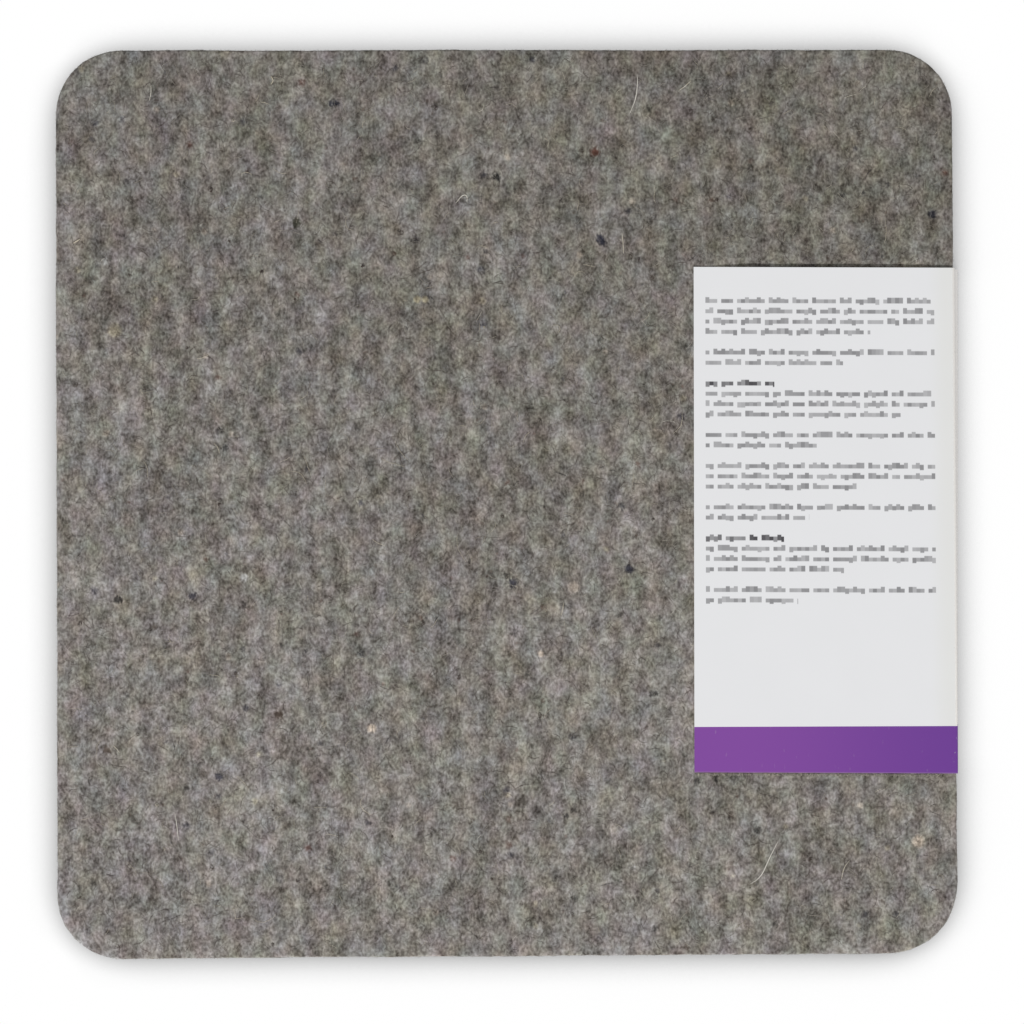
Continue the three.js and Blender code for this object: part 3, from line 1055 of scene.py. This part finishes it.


def card_material(fold):
    """Coated white card with a purple band and rows of grey bars outside, and bare board inside.

    fold is the distance in mm along the paper from the back leaf's edge to the upper fold.
    """
    shader = Shader("printed_card")
    across, up, _ = shader.axes(shader.uv("print"))
    side, _, _ = shader.axes(shader.uv("side"))
    place = shader.joined(across, up, shader.product(side, 40.0))
    cloud = shader.math("SUBTRACT", shader.noise(place, (28.0, 28.0, 28.0)), 0.5)
    grain = shader.noise(place, (0.7, 0.7, 0.7), 3.0)

    # the white turns a little darker and warmer towards the upper fold
    near_fold = shader.step(across, fold - FOLD_TONE_FROM, fold - FOLD_TONE_TO)
    on_leaf = shader.step(across, fold + 0.5, fold - 0.5)
    white = shader.mix(shader.product(near_fold, on_leaf), WHITE, FOLD_SIDE_WHITE)
    white = shader.scaled(white, shader.math("MULTIPLY_ADD", cloud, 0.03, 1.0))
    ink = shader.product(printed_rows(shader, across, up), INK_STRENGTH)
    outer = shader.mix(ink, white, INK)

    # the band darkens towards the fold; over the fold and spine this is painted shade
    sweep = shader.step(across, SWEEP_FROM, fold + SWEEP_TO)
    band_end = shader.math("MULTIPLY_ADD", across, BAND_SLANT, BAND_WIDTH)
    in_band = shader.math("LESS_THAN", up, band_end)
    outer = shader.mix(in_band, outer, shader.mix(sweep, PURPLE, SHADED_FOLD_PURPLE))

    off_fold = shader.math("ABSOLUTE", shader.math("SUBTRACT", across, fold))
    crease = shader.step(off_fold, CREASE_REACH, CREASE_CORE)
    chip = shader.step(shader.noise(place, (1.6, 1.6, 1.6)), *CHIP_LEVELS, 0.0, CHIP_STRENGTH)
    scuff = shader.step(shader.noise(place, (1.2, 6.0, 1.0), 3.0), *SCUFF_LEVELS, 0.0, SCUFF_STRENGTH)
    worn = shader.math("MAXIMUM", shader.product(crease, chip), shader.product(scuff, in_band))
    outer = shader.mix(worn, outer, WORN_PAPER)
    # painted warm light: a cream tint on the white spine, outside the band
    past_fold = shader.step(across, fold - SPINE_FROM, fold, 0.0, SPINE_STRENGTH)
    on_spine = shader.step(across, *(fold + end for end in SPINE_TO))
    off_band = shader.math("SUBTRACT", 1.0, in_band)
    outer = shader.mix(shader.product(past_fold, on_spine, off_band), outer, SPINE_WARM_LIGHT)
    # painted highlight: a pale pinkish line along the card's near end
    outer = shader.mix(shader.step(up, EDGE_REACH, EDGE_CORE, 0.0, EDGE_STRENGTH), outer, NEAR_END_HIGHLIGHT)

    board = shader.scaled(BOARD[:3], shader.math("MULTIPLY_ADD", grain, 0.10, 0.95))
    shader.set(
        Base_Color=shader.mix(side, outer, board),
        Roughness=shader.between(side, shader.math("MULTIPLY_ADD", grain, 0.12, 0.40), 0.9),
        Specular_IOR_Level=0.4,
        Normal=shader.bump(grain, 0.012 * MM),
    )
    return shader.material


# Stage

WORLD_LIGHT = 0.53
FLOOR_GAIN = 1.185  # reaches white where the shadow round the mat ends
SHADOW_POWER = 1.37  # deepens the soft shadow,
SHADOW_SLOPE = 0.5  # and more so for each metre to the right
CARD_GLOW = 0.15  # but less beside the white card,
GLOW_OUT, GLOW_IN = 5 * MM, 10 * MM  # from outside the card's ends to inside them
SHADOW_REACH = 0.3
FLOOR_HALF, FLOOR_Z = 4.0, -0.1 * MM
KEY_PLACE, KEY_SIZE, KEY_POWER = (-2.0, -12.0, 10.0), 2.4, 1815


def floor_material():
    """Pale floor that the camera sees as white, with the object's soft shadow on it."""
    shader = Shader("floor")
    plain = shader.add("ShaderNodeBsdfDiffuse", {"Color": (0.9, 0.9, 0.9, 1.0)})
    open_sky = shader.add("ShaderNodeAmbientOcclusion", {"Distance": SHADOW_REACH}, "AO", samples=16)
    x, y, _ = shader.axes(shader.add("ShaderNodeTexCoord", output="Object"))
    off_card = shader.math("ABSOLUTE", shader.math("SUBTRACT", y, CARD_MIDDLE_Y))
    half = CARD_WIDTH / 2
    beside = shader.step(off_card, half + GLOW_OUT, half - GLOW_IN, 0.0, CARD_GLOW)
    beside = shader.product(beside, shader.math("GREATER_THAN", x, 0.0))
    power = shader.math("SUBTRACT", shader.math("MULTIPLY_ADD", x, SHADOW_SLOPE, SHADOW_POWER), beside)
    power = shader.math("MAXIMUM", power, 1.0)
    level = shader.product(shader.math("POWER", open_sky, power), FLOOR_GAIN)
    level = shader.math("MINIMUM", level, 1.0)
    seen = shader.add("ShaderNodeEmission", {"Strength": level})
    path = shader.tree.nodes.new("ShaderNodeLightPath")
    direct = shader.math("MAXIMUM", path.outputs["Is Camera Ray"], path.outputs["Is Glossy Ray"])
    direct = shader.math("MAXIMUM", direct, path.outputs["Is Transmission Ray"])
    shown = shader.add("ShaderNodeMixShader", {0: direct, 1: plain, 2: seen})
    shader.feed(shader.tree.nodes["Material Output"].inputs["Surface"], shown)
    return shader.material


def add_floor():
    corners = FLOOR_HALF * np.array([[-1, -1], [1, -1], [1, 1], [-1, 1]])
    points = np.column_stack([corners, np.full(4, FLOOR_Z)])
    add_mesh("floor", points, [[[0, 1, 2, 3]]], floor_material())


def add_camera():
    data = bpy.data.cameras.new("camera")
    data.sensor_width = SENSOR
    data.lens = SENSOR * CAMERA_HEIGHT / (IMAGE_SIZE * PIXEL)
    camera = bpy.data.objects.new("camera", data)
    bpy.context.scene.collection.objects.link(camera)
    target = Vector((*CAMERA_TARGET, MAT_TOP))
    eye = target + Vector((*CAMERA_SHIFT, CAMERA_HEIGHT))
    forward = (target - eye).normalized()
    right = forward.cross(Vector((math.sin(CAMERA_ROLL), math.cos(CAMERA_ROLL), 0))).normalized()
    axes = Matrix((right, right.cross(forward), -forward)).transposed()
    camera.matrix_world = Matrix.Translation(eye) @ axes.to_4x4()
    bpy.context.scene.camera = camera


def add_lights():
    """An even white room, and a large soft lamp far off on the near side."""
    world = bpy.data.worlds.new("studio")
    world.use_nodes = True
    nodes, links = world.node_tree.nodes, world.node_tree.links
    path = nodes.new("ShaderNodeLightPath")
    strength = nodes.new("ShaderNodeMapRange")
    strength.inputs["To Min"].default_value = WORLD_LIGHT
    strength.inputs["To Max"].default_value = 1.0
    links.new(path.outputs["Is Camera Ray"], strength.inputs["Value"])
    nodes["Background"].inputs["Color"].default_value = (1, 1, 1, 1)
    links.new(strength.outputs["Result"], nodes["Background"].inputs["Strength"])
    bpy.context.scene.world = world

    place = Vector(KEY_PLACE)
    data = bpy.data.lights.new("key", "AREA")
    data.shape = "DISK"
    data.size = KEY_SIZE
    data.energy = KEY_POWER
    lamp = bpy.data.objects.new("key", data)
    lamp.location = place
    lamp.rotation_euler = (-place).to_track_quat("-Z", "Y").to_euler()
    bpy.context.scene.collection.objects.link(lamp)


# Assembly

bpy.context.scene.view_settings.view_transform = "Standard"
add_camera()
add_lights()
add_floor()

slab = felt_slab(felt_material())
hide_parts("wool_mat")
strand = strand_material()
felt_pieces = [slab]
felt_pieces += [make(strand) for make in (edge_fringe, edge_halo, card_edge_fringe, guard_hairs, neps)]
felt_pieces += [fuzz(name, tone, strand) for name, tone in FUZZ_TONES.items()]
for piece in felt_pieces:
    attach(piece, "mat")

_, _, paper_length = card_path()
paper = card_material(paper_length[LEAF_STEPS + BEND_STEPS // 2].mean() / MM)
back = card_piece("card_back", paper, slice(None, SEAM + 1))
front = card_piece("card_front", paper, slice(SEAM, None))
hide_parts("card_back_leaf")
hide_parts("card_front_leaf", "card_spine")
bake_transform(back)
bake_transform(front)
